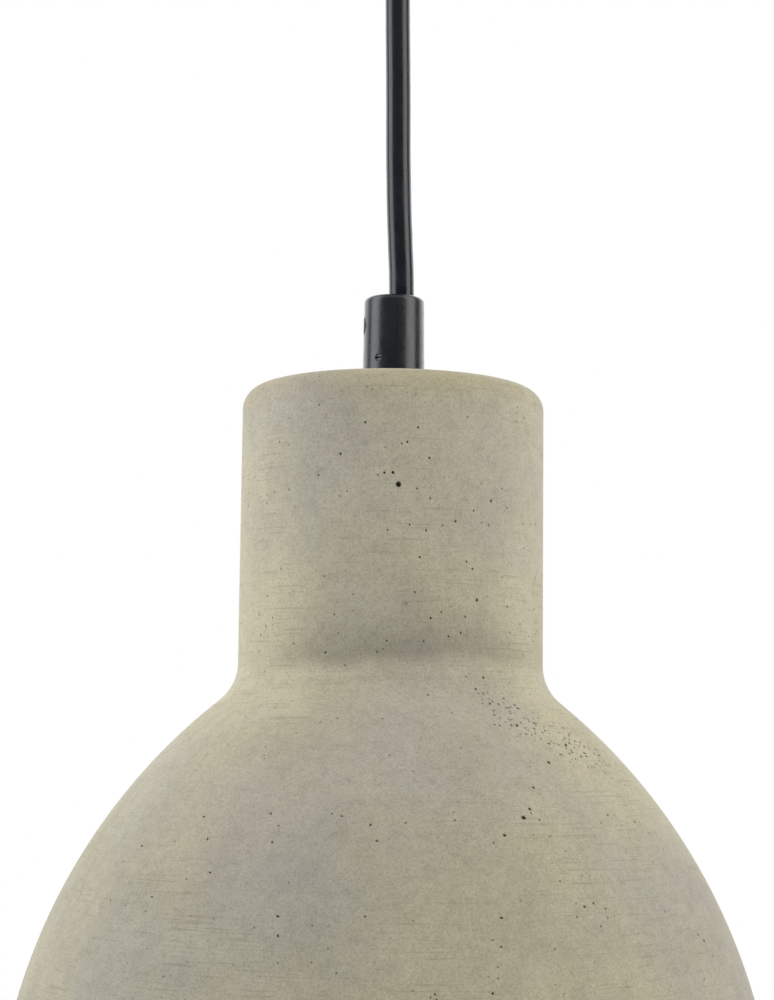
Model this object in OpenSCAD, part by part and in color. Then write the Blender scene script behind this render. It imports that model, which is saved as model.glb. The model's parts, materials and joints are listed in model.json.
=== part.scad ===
// Concrete bell pendant on a short drop of black supply cord, with its ceiling fitting.
// The origin is the middle of the ceiling fitting, on the ceiling plane. +Z is up, so the
// lamp hangs down into -Z.

/* [Concrete shade] */
// Outer diameter of the shade at its rim
shade_d = 205.6; // [180:0.2:250]
// Height of the shade, from the top of its neck to the rim
shade_h = 195; // [160:0.5:235]
// Outer diameter of the neck
neck_d = 82.9; // [76:0.1:100]
// Radius of the round edge at the top of the neck
neck_top_round = 6; // [2:0.1:8]
// Radius of the hollow between neck and bell, outside
throat_round = 13; // [6:0.5:20]
// Radius of the bell's curve, seen from the side
bell_r = 151.3; // [135:0.1:180]
// How far below the rim the bell's curve would be widest
bell_widest_below_rim = 8.7; // [0:0.2:20]
// Thickness of the bell's wall
bell_wall = 8.5; // [6:0.5:12]
// Diameter of the hollow inside the neck
neck_bore_d = 64; // [53:0.5:68]
// Thickness of the slab at the top of the neck
slab_t = 10; // [7:0.5:14]
// Radius of the round edge where the neck's hollow opens into the bell
mouth_round = 8; // [3:0.5:12]
// Radius of the rim's edges
rim_round = 2.4; // [0.5:0.1:3]
// Radius of the corner at the top of the neck's hollow
slab_round = 5; // [1:0.5:8]

/* [Supply cord] */
// Diameter of the round supply cord
cord_d = 7; // [5.6:0.1:7.2]
// Bare cord between the two cord grips
cord_drop = 95; // [90:1:114]
// Diameter of one insulated core
core_d = 2.3; // [1.8:0.1:2.6]

/* [Cord grips] */
// Diameter of a cord grip at its foot
grip_foot_d = 17.2; // [15.4:0.1:20]
// Diameter of a cord grip at its mouth
grip_mouth_d = 16.6; // [15.4:0.1:20]
// Height of a cord grip
grip_h = 24.4; // [22:0.1:30]
// Radius of the grip's edge at its mouth
grip_round = 1.4; // [0.5:0.1:2]
// Diameter of the hole in the lamp's grip, where the cord is pressed to one side
shade_grip_bore_d = 11.2; // [10.4:0.1:11.6]
// Diameter of the hole in the ceiling fitting's grip, where the cord is central
canopy_grip_bore_d = 7.8; // [7.4:0.1:9]
// Flare of the lamp grip's hole at its mouth, on the radius
shade_grip_flare = 0.5; // [0:0.1:0.8]
// Flare of the ceiling grip's hole at its mouth, on the radius
canopy_grip_flare = 2.2; // [1.8:0.1:2.5]
// Diameter of a clamp screw
clamp_screw_d = 6; // [4:0.5:7]
// Clamp screw's axis, below the grip's mouth
clamp_below_mouth = 8; // [7:0.5:9]
// How far a clamp screw stands out of the grip
clamp_proud = 0; // [0:0.1:1]
// Diameter of the small lock screw in a grip
lock_screw_d = 2; // [1.6:0.1:3]
// Lock screw's axis, above the grip's foot
lock_above_foot = 6.6; // [4:0.2:7]
// Direction of the lock screw, turned from the front towards the left
lock_turn = 30; // [0:1:60]

/* [Threaded nipples] */
// Outer diameter of a nipple
nipple_d = 10; // [10:0.5:13]
// Bore of a nipple
nipple_bore_d = 8.4; // [8.1:0.1:8.8]
// How deep a nipple goes into a grip
nipple_in_grip = 8; // [7.5:0.5:8.5]
// Width across the flats of the nuts
nut_af = 14; // [13:0.5:19]
// Thickness of the nuts
nut_t = 3; // [2:0.5:5]

/* [Washers] */
// Diameter of the washer under the lamp's grip
grip_washer_d = 20; // [18:0.5:30]
// Thickness of the washer under the lamp's grip
grip_washer_t = 1.5; // [1:0.1:2]
// Diameter of the washer inside the shade
under_washer_d = 26; // [20:1:40]
// Thickness of the washer inside the shade
under_washer_t = 1.5; // [1:0.1:2.5]
// Diameter of the washer inside the canopy
canopy_washer_d = 18; // [16:0.5:24]
// Thickness of the washer inside the canopy
canopy_washer_t = 1; // [0.5:0.1:2]

/* [Lampholder] */
// Diameter of the lampholder's collar
collar_d = 15; // [13.5:0.5:18]
// Height of the lampholder's collar
collar_h = 6.5; // [5:0.5:9]
// Diameter of the lampholder's cap
holder_d = 41; // [39:0.5:46]
// Height of the lampholder's cap below its collar
cap_h = 19; // [17:0.5:24]
// Height of the lampholder's skirt
skirt_h = 33; // [31:0.5:40]
// How much wider the skirt is at its mouth
skirt_flare = 1.6; // [0:0.1:3]
// Wall of the cap and the skirt
holder_wall = 1.8; // [1.5:0.1:2.5]
// Inner diameter of the screw shell for the bulb
shell_bore_d = 26.4; // [26:0.1:27]
// Wall of the screw shell
shell_wall = 0.5; // [0.3:0.1:0.8]
// Depth of the screw shell
shell_h = 24; // [20:0.5:26]
// Height of the screw shell's turned-in end
shell_turn = 4; // [3.7:0.1:5]
// Thickness of the ceramic insert
insert_t = 10; // [8:0.5:11]

/* [Ceiling fitting] */
// Outer diameter of the canopy
canopy_d = 100; // [90:1:130]
// Height of the canopy
canopy_h = 26; // [24:1:32]
// Thickness of the canopy's sheet
canopy_wall = 1; // [0.8:0.1:1.5]
// Radius of the canopy's lower edge
canopy_round = 5; // [2:0.5:8]
// Width of the bracket
bracket_w = 20; // [16:1:26]
// Thickness of the bracket
bracket_t = 2; // [1.5:0.1:2.5]
// Depth of the bracket's bent ends
ear_h = 13; // [11:0.5:16]
// Distance between the two ceiling slots
slot_spacing = 60; // [56:1:64]
// Length of a ceiling slot, end to end
slot_l = 14; // [9:0.5:16]
// Width of a ceiling slot
slot_w = 5; // [4:0.1:6]
// Diameter of the side screws
side_screw_d = 4; // [3:0.5:5]
// Side screws' axis, below the ceiling
side_screw_z = 8; // [7:0.5:9]

/* [Terminal block] */
// Distance between two poles
pole_pitch = 9.5; // [8:0.5:10]
// Width of the block across its wires
block_w = 16; // [14:0.5:18]
// Height of the block
block_h = 12; // [10:0.5:13]
// Edge of the block, out from the middle of the fitting
block_from_middle = 10; // [9:0.5:12]

/* [Clearances] */
// Radial gap between a screw or nipple and its hole
thread_gap = 0.05; // [0.02:0.01:0.1]
// Radial gap round a nipple or screw that passes through a plain hole
pass_gap = 0.4; // [0.2:0.05:1]
// Gap between the cord and what it moves against
cord_gap = 0.3; // [0.1:0.05:0.6]
// Gap that keeps neighbours from binding
seat_gap = 0.05; // [0.02:0.01:0.2]

/* [Hidden] */

$fn = 96;
eps = 0.01;            // how far a cut runs past the face it opens
nut_gap = 0.7;         // between the shade's nut and the lampholder's collar

// Heights of the main faces, from the ceiling down.
z_canopy_base = -canopy_h;
z_upper_mouth = z_canopy_base - grip_h;
z_lower_mouth = z_upper_mouth - cord_drop;
z_grip_foot = z_lower_mouth - grip_h;
z_shade_top = z_grip_foot - grip_washer_t;
z_slab_base = z_shade_top - slab_t;
z_under_washer = z_slab_base - under_washer_t;
z_nut_base = z_under_washer - nut_t;
z_collar_top = z_nut_base - nut_gap;
z_cap_shoulder = z_collar_top - collar_h;
z_cap_base = z_cap_shoulder - cap_h;
z_skirt_base = z_cap_base - skirt_h;

// Radii that several pieces share.
cord_r = cord_d / 2;
core_r = core_d / 2;
nipple_r = nipple_d / 2;
cord_wall_gap = 0.1;                                   // between the pressed cord and its hole's wall
cord_side = shade_grip_bore_d / 2 - cord_r - cord_wall_gap;   // how far the clamp screw pushes the cord
tail_x = 0.5;                                          // how far off the middle the cord stays below that
core_gap = 0.35;                                       // between two cores in the sheath
core_side = core_r + core_gap / 2;
clamp_r = clamp_screw_d / 2;
lock_r = lock_screw_d / 2;

// Lampholder.
spigot_h = 6;                                          // the cap's ring inside the skirt
spigot_r = holder_d / 2 - holder_wall - seat_gap;
spigot_wall = 1.5;
insert_r = spigot_r - spigot_wall - seat_gap;
insert_rise = 4.5;                                     // how far the insert reaches into the cap
insert_step = 4;                                       // how far its two bosses stand above the disc
boss_w = 8;
boss_l = 10;
z_insert_top = z_cap_base + insert_rise;
z_insert_base = z_insert_top - insert_t;
shell_r = shell_bore_d / 2;
z_shell_base = z_insert_base - shell_h;
holder_pole = 9;                                       // terminal screws, out from the middle
holder_screw_r = 1.6;
holder_head_r = 2.4;
holder_head_h = 2.2;

// Ceiling fitting.
earth_tag_t = 0.8;
side_head_h = 2.2;
side_head_r = 0.95 * side_screw_d;
block_screw_r = 1.6;
block_head_r = 2.9;
block_head_h = 1.8;
earth_r = 2;
earth_head_r = 3.6;
earth_head_h = 2.4;
earth_x = 15;
poles = [-pole_pitch, 0, pole_pitch];
pole_gap = 0.8;                                        // the notch between two poles
fixing_y = pole_pitch / 2;
web_w = 7.2;
web_h = 0.55 * block_h;
pole_screw_r = 1.5;
canopy_inner_r = canopy_d / 2 - canopy_wall;
ear_face = sqrt(pow(canopy_inner_r - 0.4, 2) - pow(bracket_w / 2, 2));
block_l = 3 * pole_pitch;
block_x = -block_from_middle - block_w / 2;
z_block_top = -bracket_t;
z_wire = z_block_top - 0.62 * block_h;                 // axis of the brass sleeves
sleeve_r = 2.3;
sleeve_bore_r = 1.5;
nipple_past_nut = 1;
nipple_in_cap = 0.5;
z_upper_nipple_top = z_canopy_base + canopy_wall + canopy_washer_t + nut_t + nipple_past_nut;
z_lower_nipple_base = z_cap_shoulder - nipple_in_cap;

// The supply cord's line from the lamp's grip up to the ceiling grip: [share of the push to the
// side, height above the mouth].
cord_line = [
    [1, 0], [0.975, 4], [0.925, 8], [0.85, 11], [0.775, 14], [0.7, 18], [0.625, 21], [0.55, 25],
    [0.5, 28], [0.45, 32], [0.4, 36], [0.35, 40], [0.325, 44], [0.3, 49], [0.275, 54],
    [0.225, 62], [0.15, 70], [0.075, 78], [0.025, 86], [0, cord_drop]
];
// The cord inside the lamp: [share of the push to the side, depth below the mouth].
tail_line = [
    [1, 4], [1, 8.5], [0.93, 10], [0.71, 11.8], [0.43, 13.4], [0.18, 14.9], [0.03, 16.2], [0, 18],
    [0, 25]
];

// Points of an arc round [cx, cy] from angle a to angle b.
function arc(cx, cy, r, a, b, n) =
    [for (i = [0:n]) [cx + r * cos(a + (b - a) * i / n), cy + r * sin(a + (b - a) * i / n)]];

// The bell's curve is an arc whose middle lies beyond the shade's axis and below its rim.
bell_x = shade_d / 2 - sqrt(pow(bell_r, 2) - pow(bell_widest_below_rim, 2));
bell_z = -shade_h - bell_widest_below_rim;
inner_bell_r = bell_r - bell_wall;
neck_r = neck_d / 2;
neck_bore_r = neck_bore_d / 2;

// Height of the middle of a rounding that touches an upright wall at wall_r and the bell's arc.
function throat_z(wall_r, arc_r, f) = bell_z + sqrt(pow(arc_r + f, 2) - pow(wall_r + f - bell_x, 2));
// Direction of that middle, seen from the middle of the bell's arc.
function throat_angle(wall_r, arc_r, f) = acos((wall_r + f - bell_x) / (arc_r + f));
// Direction of the point where an arc reaches a given height.
function angle_at(arc_r, z) = asin((z - bell_z) / arc_r);
function bell_at(arc_r, z) = bell_x + arc_r * cos(angle_at(arc_r, z));

outer_throat = throat_z(neck_r, bell_r, throat_round);
outer_turn = throat_angle(neck_r, bell_r, throat_round);
inner_throat = throat_z(neck_bore_r, inner_bell_r, mouth_round);
inner_turn = throat_angle(neck_bore_r, inner_bell_r, mouth_round);
z_rim_round = -shade_h + rim_round;
hole_r = nipple_r + pass_gap;

// Side outline of the shade's wall, with z = 0 at the top of the neck.
shade_outline = concat(
    [[hole_r, 0]],
    arc(neck_r - neck_top_round, -neck_top_round, neck_top_round, 90, 0, 8),
    arc(neck_r + throat_round, outer_throat, throat_round, 180, 180 + outer_turn, 10),
    [for (i = [1:24])
        let (a = outer_turn + (angle_at(bell_r, z_rim_round) - outer_turn) * i / 24)
        [bell_x + bell_r * cos(a), bell_z + bell_r * sin(a)]],
    arc(bell_at(bell_r, z_rim_round) - rim_round, z_rim_round, rim_round, -15, -90, 4),
    arc(bell_at(inner_bell_r, z_rim_round) + rim_round, z_rim_round, rim_round, -90, -165, 4),
    [for (i = [0:24])
        let (a = angle_at(inner_bell_r, z_rim_round)
                + (inner_turn - angle_at(inner_bell_r, z_rim_round)) * i / 24)
        [bell_x + inner_bell_r * cos(a), bell_z + inner_bell_r * sin(a)]],
    arc(neck_bore_r + mouth_round, inner_throat, mouth_round, 180 + inner_turn * 0.9, 180, 7),
    arc(neck_bore_r - slab_round, -slab_t - slab_round, slab_round, 0, 90, 5),
    [[hole_r, -slab_t]]
);

// A round tube along a line of points, with a ring across the line at each point. The line never
// runs along ref, which keeps the rings from turning. A blunt end is flat, and a round end closes
// in a ball of the tube's radius, centred on the last point.
function unit(v) = v / norm(v);
function heading(p, i) = unit(p[min(i + 1, len(p) - 1)] - p[max(i - 1, 0)]);
function ring(c, t, r, sides, ref) =
    let (u = unit(cross(t, ref)), v = cross(t, u))
    [for (k = [0:sides - 1]) c + r * cos(360 * k / sides) * u + r * sin(360 * k / sides) * v];
module tube(p, r, sides, ref, round_start = false, round_end = false) {
    t0 = heading(p, 0);
    t1 = heading(p, len(p) - 1);
    caps = [20, 45, 70];
    rings = concat(
        round_start
            ? [for (i = [2:-1:0]) ring(p[0] - r * sin(caps[i]) * t0, t0, r * cos(caps[i]), sides, ref)]
            : [],
        [for (i = [0:len(p) - 1]) ring(p[i], heading(p, i), r, sides, ref)],
        round_end
            ? [for (a = caps) ring(p[len(p) - 1] + r * sin(a) * t1, t1, r * cos(a), sides, ref)]
            : []
    );
    n = len(rings);
    points = [for (q = rings) each q];
    faces = concat(
        [[for (k = [0:sides - 1]) k]],
        [for (i = [0:n - 2]) for (k = [0:sides - 1])
            each [[i * sides + k, (i + 1) * sides + k, (i + 1) * sides + (k + 1) % sides],
                  [i * sides + k, (i + 1) * sides + (k + 1) % sides, i * sides + (k + 1) % sides]]],
        [[for (k = [sides - 1:-1:0]) (n - 1) * sides + k]]
    );
    polyhedron(points, faces);
}

module ring_disc(r_out, r_in, t) {
    difference() {
        cylinder(r = r_out, h = t);
        translate([0, 0, -eps]) cylinder(r = r_in, h = t + 2 * eps);
    }
}

module hex_nut(af, r_in, t) {
    difference() {
        cylinder(r = af / 2 / cos(30), h = t, $fn = 6);
        translate([0, 0, -eps]) cylinder(r = r_in, h = t + 2 * eps);
    }
}

// A cord grip with its foot at z = 0 and its mouth at z = grip_h. The clamp screw comes in
// from -X and the lock screw from the front.
module cord_grip(bore_r, flare) {
    foot_r = grip_foot_d / 2;
    mouth_r = grip_mouth_d / 2;
    difference() {
        rotate_extrude()
            polygon(concat(
                [[0, 0], [foot_r, 0]],
                arc(mouth_r - grip_round, grip_h - grip_round, grip_round, 0, 90, 6),
                [[0, grip_h]]
            ));
        translate([0, 0, -eps])
            cylinder(r = nipple_r + thread_gap, h = nipple_in_grip + seat_gap + eps);
        cylinder(r = bore_r, h = grip_h + eps);
        translate([0, 0, grip_h - 2 * flare])
            cylinder(r1 = bore_r, r2 = bore_r + flare + eps, h = 2 * flare + eps);
        translate([0, 0, grip_h - clamp_below_mouth]) rotate([0, -90, 0])
            cylinder(r = clamp_r + thread_gap, h = foot_r + 1);
        rotate([0, 0, -lock_turn]) translate([0, 0, lock_above_foot]) rotate([90, 0, 0])
            cylinder(r = lock_r + thread_gap, h = foot_r + 1);
    }
}

// A slotted screw without a head. It lies along -X from tip_x out of the grip's side, its slot
// upright. The tip is blunt and the outer edge is broken.
module clamp_screw(tip_x) {
    grip_side = (grip_mouth_d + (grip_foot_d - grip_mouth_d) * clamp_below_mouth / grip_h) / 2;
    end = grip_side + clamp_proud;
    tip_h = 1;
    tip_in = 0.8;
    edge_h = 0.5;
    edge_in = 0.4;
    cut_w = 1;
    cut_deep = 1.5;
    difference() {
        union() {
            translate([tip_x, 0, 0]) rotate([0, -90, 0])
                cylinder(r1 = clamp_r - tip_in, r2 = clamp_r, h = tip_h);
            translate([tip_x - tip_h, 0, 0]) rotate([0, -90, 0])
                cylinder(r = clamp_r, h = end + tip_x - tip_h - edge_h);
            translate([edge_h - end, 0, 0]) rotate([0, -90, 0])
                cylinder(r1 = clamp_r, r2 = clamp_r - edge_in, h = edge_h);
        }
        translate([-end - eps, -cut_w / 2, -clamp_r - 1]) cube([cut_deep, cut_w, 2 * clamp_r + 2]);
    }
}

// A slotted screw without a head, standing on z = 0.
module slotted_pin(len) {
    cut_w = 0.4;
    cut_deep = 0.7;
    difference() {
        cylinder(r = lock_r, h = len);
        translate([-lock_r - 1, -cut_w / 2, len - cut_deep]) cube([2 * lock_r + 2, cut_w, cut_deep + eps]);
    }
}

// The small screw that locks a grip on its nipple. It sits below the grip's side.
module grip_lock_screw() {
    from = nipple_r + seat_gap;
    sunk = 0.4;
    rotate([0, 0, -lock_turn]) translate([0, -from, lock_above_foot]) rotate([90, 0, 0])
        slotted_pin(grip_foot_d / 2 - from - sunk);
}

module nipple(length) {
    ring_disc(nipple_r, nipple_bore_d / 2, length);
}

// ---- Ceiling fitting ----

module ceiling_bracket() {
    color("silver") difference() {
        union() {
            translate([-ear_face, -bracket_w / 2, -bracket_t]) cube([2 * ear_face, bracket_w, bracket_t]);
            for (s = [-1, 1])
                translate([s > 0 ? ear_face - bracket_t : -ear_face, -bracket_w / 2, -ear_h])
                    cube([bracket_t, bracket_w, ear_h]);
        }
        for (s = [-1, 1]) {
            for (e = [-1, 1])
                translate([s * slot_spacing / 2 + e * (slot_l - slot_w) / 2, 0, -bracket_t - eps])
                    cylinder(r = slot_w / 2, h = bracket_t + 2 * eps);
            translate([s * slot_spacing / 2 - (slot_l - slot_w) / 2, -slot_w / 2, -bracket_t - eps])
                cube([slot_l - slot_w, slot_w, bracket_t + 2 * eps]);
            translate([s * (ear_face + eps), 0, -side_screw_z]) rotate([0, -s * 90, 0])
                cylinder(r = side_screw_d / 2 + thread_gap, h = bracket_t + 2 * eps);
        }
        translate([block_x, fixing_y, -bracket_t - eps])
            cylinder(r = block_screw_r + thread_gap, h = bracket_t + 2 * eps);
        translate([earth_x, 0, -bracket_t - eps])
            cylinder(r = earth_r + thread_gap, h = bracket_t + 2 * eps);
    }
}

module canopy_cup() {
    r = canopy_d / 2;
    drill_in = 3;
    color("#1c1d1f") difference() {
        rotate_extrude()
            polygon(concat(
                [[nipple_r + pass_gap, z_canopy_base]],
                arc(r - canopy_round, z_canopy_base + canopy_round, canopy_round, -90, 0, 8),
                [[r, 0], [r - canopy_wall, 0]],
                arc(r - canopy_round, z_canopy_base + canopy_round, canopy_round - canopy_wall, 0, -90, 8),
                [[nipple_r + pass_gap, z_canopy_base + canopy_wall]]
            ));
        for (s = [-1, 1])
            translate([s * (r - drill_in), 0, -side_screw_z]) rotate([0, s * 90, 0])
                cylinder(r = side_screw_d / 2 + pass_gap, h = drill_in + 1);
    }
}

module canopy_side_screws() {
    r = canopy_d / 2;
    past_ear = 2;
    into_head = 1;
    head_slope = 0.8;
    cut_w = 1;
    cut_deep = 0.8;
    inner_end = ear_face - bracket_t - past_ear;
    color("#1c1d1f") for (s = [-1, 1])
        translate([0, 0, -side_screw_z]) rotate([0, s * 90, 0])
            difference() {
                union() {
                    translate([0, 0, inner_end]) cylinder(r = side_screw_d / 2, h = r + into_head - inner_end);
                    translate([0, 0, r + seat_gap])
                        cylinder(r1 = side_head_r, r2 = side_head_r - head_slope, h = side_head_h);
                }
                translate([-cut_w / 2, -side_head_r - 1, r + side_head_h - cut_deep])
                    cube([cut_w, 2 * side_head_r + 2, 2 * cut_deep]);
            }
}

module terminal_block() {
    color("white") difference() {
        union() {
            for (y = poles)
                translate([block_x - block_w / 2, y - (pole_pitch - pole_gap) / 2, z_block_top - block_h])
                    cube([block_w, pole_pitch - pole_gap, block_h]);
            translate([block_x - web_w / 2, -(block_l - pole_gap) / 2, z_block_top - web_h])
                cube([web_w, block_l - pole_gap, web_h]);
        }
        for (y = poles) {
            translate([block_x - block_w / 2 - eps, y, z_wire]) rotate([0, 90, 0])
                cylinder(r = sleeve_r + thread_gap, h = block_w + 2 * eps);
            for (s = [-1, 1])
                translate([block_x + s * block_w / 4, y, z_block_top - block_h - eps])
                    cylinder(r = pole_screw_r + pass_gap, h = block_h + z_wire - z_block_top + eps);
        }
        translate([block_x, fixing_y, z_block_top - block_h - eps])
            cylinder(r = block_screw_r + pass_gap, h = block_h + 2 * eps);
    }
}

module terminal_sleeves() {
    len = block_w - 2;
    color("gold") for (y = poles)
        difference() {
            translate([block_x - len / 2, y, z_wire]) rotate([0, 90, 0])
                difference() {
                    cylinder(r = sleeve_r, h = len);
                    translate([0, 0, -eps]) cylinder(r = sleeve_bore_r, h = len + 2 * eps);
                }
            for (s = [-1, 1])
                translate([block_x + s * block_w / 4, y, z_wire - sleeve_r - 1])
                    cylinder(r = pole_screw_r + thread_gap, h = sleeve_r + 1);
        }
}

module terminal_screws() {
    tip = z_wire - core_r - seat_gap;
    sunk = 0.6;
    cut_w = 0.5;
    cut_deep = 0.8;
    head = z_block_top - block_h + sunk;
    color("gold") for (y = poles) for (s = [-1, 1])
        translate([block_x + s * block_w / 4, y, 0])
            difference() {
                translate([0, 0, head]) cylinder(r = pole_screw_r, h = tip - head);
                translate([-cut_w / 2, -pole_screw_r - 1, head - eps])
                    cube([cut_w, 2 * pole_screw_r + 2, cut_deep]);
            }
}

// The head's underside is at z = 0, the shank points up and the slot is below.
module pan_screw(r, head_r, head_h, length) {
    head_slope = 0.6;
    cut_w = 0.8;
    cut_deep = 0.7;
    difference() {
        union() {
            cylinder(r = r, h = length);
            translate([0, 0, -head_h]) cylinder(r1 = head_r - head_slope, r2 = head_r, h = head_h);
        }
        translate([-cut_w / 2, -head_r - 1, -head_h - 1]) cube([cut_w, 2 * head_r + 2, 1 + cut_deep]);
    }
}

module terminal_fixing_screw() {
    color("silver") translate([block_x, fixing_y, z_block_top - block_h - seat_gap])
        pan_screw(block_screw_r, block_head_r, block_head_h, block_h + bracket_t);
}

module earth_screw() {
    color("gold") translate([earth_x, 0, -bracket_t - earth_tag_t])
        pan_screw(earth_r, earth_head_r, earth_head_h, bracket_t + earth_tag_t);
}

module canopy_grip() {
    color("#1b1c1e") translate([0, 0, z_canopy_base]) rotate([180, 0, 0])
        cord_grip(canopy_grip_bore_d / 2, canopy_grip_flare);
}

module canopy_clamp_screw() {
    color("#1b1c1e") translate([0, 0, z_upper_mouth + clamp_below_mouth])
        clamp_screw(-cord_r - cord_gap / 2);
}

module canopy_lock_screw() {
    color("#1b1c1e") translate([0, 0, z_canopy_base]) rotate([180, 0, 0]) grip_lock_screw();
}

module canopy_nipple() {
    base = z_canopy_base - nipple_in_grip;
    color("silver") translate([0, 0, base]) nipple(z_upper_nipple_top - base);
}

module canopy_washer() {
    color("silver") translate([0, 0, z_canopy_base + canopy_wall])
        ring_disc(canopy_washer_d / 2, nipple_r + pass_gap, canopy_washer_t);
}

module canopy_nut() {
    color("silver") translate([0, 0, z_canopy_base + canopy_wall + canopy_washer_t])
        hex_nut(nut_af, nipple_r + thread_gap, nut_t);
}

// ---- Supply cord ----

sheath_past_nipple = 1.5;
z_upper_sheath_end = z_upper_nipple_top + sheath_past_nipple;
z_lower_sheath_end = z_lower_nipple_base - sheath_past_nipple;

module live_core_upper() {
    p = [[0, core_side, z_upper_sheath_end], [0, core_side, z_upper_sheath_end + 1.5],
         [0.3, core_side + 0.6, z_upper_sheath_end + 3.2], [-0.2, core_side + 2.2, -13.2],
         [-1.7, 6, -11], [-4, pole_pitch - 1, -9.8], [-7, pole_pitch, z_wire],
         [block_x + block_w / 2, pole_pitch, z_wire], [block_x + 0.5, pole_pitch, z_wire]];
    color("saddlebrown") tube(p, core_r, 10, [1, 1, 0]);
}

module neutral_core_upper() {
    p = [[0, -core_side, z_upper_sheath_end], [0, -core_side, z_upper_sheath_end + 1.5],
         [0.6, -core_side, z_upper_sheath_end + 3.2], [0.5, -core_side + 0.1, -13.2],
         [-0.9, -0.9, -11], [-3.3, -0.3, -9.8], [-6.2, 0, z_wire],
         [block_x + block_w / 2, 0, z_wire], [block_x + 0.5, 0, z_wire]];
    color("royalblue") tube(p, core_r, 10, [0, 1, 0]);
}

// The green and yellow core runs from the third pole to a ring tag under the earth screw.
module earth_core() {
    tag_l = 5.5;
    tag_w = 2.8;
    tag_r = 3.8;
    tag_gap = 0.15;
    p = [[block_x + 0.5, -pole_pitch, z_wire], [block_x + block_w / 2, -pole_pitch, z_wire],
         [-6, -pole_pitch, z_wire - 0.4], [-1, -9, z_wire - 1], [5, -8.2, -9.6], [9.5, -7.6, -7.2],
         [12.5, -7.4, -5.2], [earth_x - 0.6, -7, -4.1], [earth_x, -5.4, -3.9]];
    color("yellowgreen") tube(p, core_r, 10, [0, 0, 1]);
    color("silver") translate([earth_x, 0, -bracket_t - earth_tag_t])
        difference() {
            union() {
                cylinder(r = tag_r, h = earth_tag_t);
                translate([-tag_w / 2, -tag_l, 0]) cube([tag_w, tag_l, earth_tag_t]);
            }
            translate([0, 0, -eps]) cylinder(r = earth_r + tag_gap, h = earth_tag_t + 2 * eps);
        }
}

module cord_tail_upper() {
    z0 = z_upper_mouth + cord_r + cord_gap;
    p = [for (i = [0:6]) [0, 0, z0 + (z_upper_sheath_end - z0) * i / 6]];
    color("#131416") tube(p, cord_r, 12, [0, 1, 0]);
}

module supply_cord() {
    p = [for (q = cord_line) [cord_side * q[0], 0, z_lower_mouth + q[1]]];
    color("#131416") tube(p, cord_r, 12, [0, 1, 0], round_start = true, round_end = true);
}

module cord_tail_lower() {
    z_tail = z_lower_mouth - tail_line[len(tail_line) - 1][1];
    p = concat([for (q = tail_line) [tail_x + (cord_side - tail_x) * q[0], 0, z_lower_mouth - q[1]]],
        [for (i = [1:4]) [tail_x, 0, z_tail + (z_lower_sheath_end - z_tail) * i / 4]]);
    color("#131416") tube(p, cord_r, 12, [0, 1, 0]);
}

// ---- Lamp ----

module shade_grip() {
    color("#1b1c1e") translate([0, 0, z_grip_foot])
        cord_grip(shade_grip_bore_d / 2, shade_grip_flare);
}

module shade_clamp_screw() {
    color("#1b1c1e") translate([0, 0, z_lower_mouth - clamp_below_mouth])
        clamp_screw(cord_side - cord_r - cord_gap / 2);
}

module shade_lock_screw() {
    color("#1b1c1e") translate([0, 0, z_grip_foot]) grip_lock_screw();
}

module grip_washer() {
    color("#26272a") translate([0, 0, z_shade_top])
        ring_disc(grip_washer_d / 2, nipple_r + pass_gap, grip_washer_t);
}

module shade_nipple() {
    color("silver") translate([0, 0, z_lower_nipple_base])
        nipple(z_grip_foot + nipple_in_grip - z_lower_nipple_base);
}

module concrete_shade() {
    color("#b3ab96") translate([0, 0, z_shade_top]) rotate_extrude($fn = 180) polygon(shade_outline);
}

module under_washer() {
    color("silver") translate([0, 0, z_under_washer])
        ring_disc(under_washer_d / 2, nipple_r + pass_gap, under_washer_t);
}

module shade_nut() {
    color("silver") translate([0, 0, z_nut_base]) hex_nut(nut_af, nipple_r + thread_gap, nut_t);
}

module lampholder_cap() {
    r = holder_d / 2;
    c = collar_d / 2;
    inner = r - holder_wall;
    edge = 0.5;
    shoulder = 9;
    inner_shoulder = 7.5;
    color("#1d1d1f") difference() {
        rotate_extrude()
            polygon(concat(
                [[nipple_r + thread_gap, z_collar_top], [c - edge, z_collar_top], [c, z_collar_top - edge]],
                [[c, z_cap_shoulder + 1]],
                arc(r - shoulder, z_cap_shoulder - shoulder, shoulder, 78, 0, 8),
                [[r, z_cap_base], [spigot_r, z_cap_base], [spigot_r, z_cap_base - spigot_h]],
                [[spigot_r - spigot_wall, z_cap_base - spigot_h]],
                [[spigot_r - spigot_wall, z_cap_base + 1], [inner, z_cap_base + 3]],
                arc(inner - inner_shoulder, z_cap_shoulder - holder_wall - inner_shoulder,
                    inner_shoulder, 0, 90, 8),
                [[nipple_r + thread_gap, z_cap_shoulder - holder_wall]]
            ));
        translate([0, 0, z_cap_shoulder + collar_h / 2]) rotate([90, 0, 0])
            cylinder(r = lock_r + thread_gap, h = c + 1);
    }
}

module lampholder_lock_screw() {
    from = nipple_r + seat_gap;
    proud = 0.8;
    color("silver") translate([0, -from, z_cap_shoulder + collar_h / 2]) rotate([90, 0, 0])
        slotted_pin(collar_d / 2 + proud - from);
}

module lampholder_insert() {
    color("ivory") difference() {
        union() {
            translate([0, 0, z_insert_base]) cylinder(r = insert_r, h = insert_t - insert_step);
            for (s = [-1, 1])
                translate([s * holder_pole - boss_w / 2, -boss_l / 2, z_insert_base])
                    cube([boss_w, boss_l, insert_t]);
        }
        for (s = [-1, 1])
            translate([s * holder_pole, 0, z_insert_base + 2])
                cylinder(r = holder_screw_r + thread_gap, h = insert_t);
    }
}

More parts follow.
